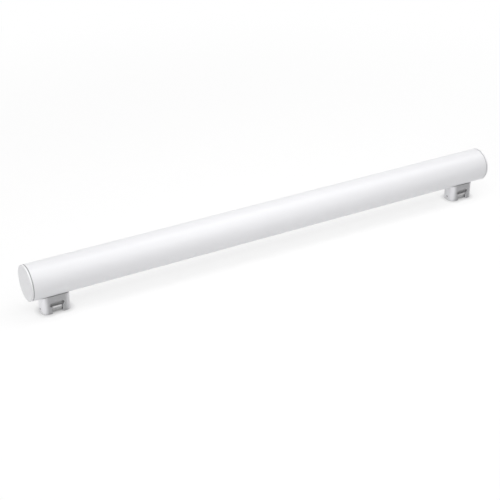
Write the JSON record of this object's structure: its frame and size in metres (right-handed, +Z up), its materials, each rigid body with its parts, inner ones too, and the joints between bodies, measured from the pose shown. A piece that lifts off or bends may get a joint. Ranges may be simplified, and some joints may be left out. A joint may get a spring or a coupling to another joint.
{
  "type": "tubular light bulb",
  "caption": "Straight opal tube lamp with flat capped ends, carried by push-in metal contact pegs with sprung catch slots.",
  "frame": {"origin": "on the ground, under the middle of the tube, between the two pegs", "axes": "+X along the tube, +Y across it, +Z up, from the pegs to the tube"},
  "size_m": [0.5, 0.033, 0.0487],
  "materials": {
    "opal_white": "smooth opal, soft gloss",
    "cap_white": "smooth moulded, satin",
    "satin_metal": "satin plated, drawn",
    "spring_metal": "satin plated, rolled",
    "insulator_grey": "matt moulded"
  },
  "bodies": {
    "root": {"opal_tube": "opal_white", "end_cap_left": "cap_white", "peg_shell_left": "satin_metal", "contact_strip_left": "spring_metal", "peg_core_left": "insulator_grey", "end_cap_right": "cap_white", "peg_shell_right": "satin_metal", "contact_strip_right": "spring_metal", "peg_core_right": "insulator_grey"}
  },
  "joints": []
}
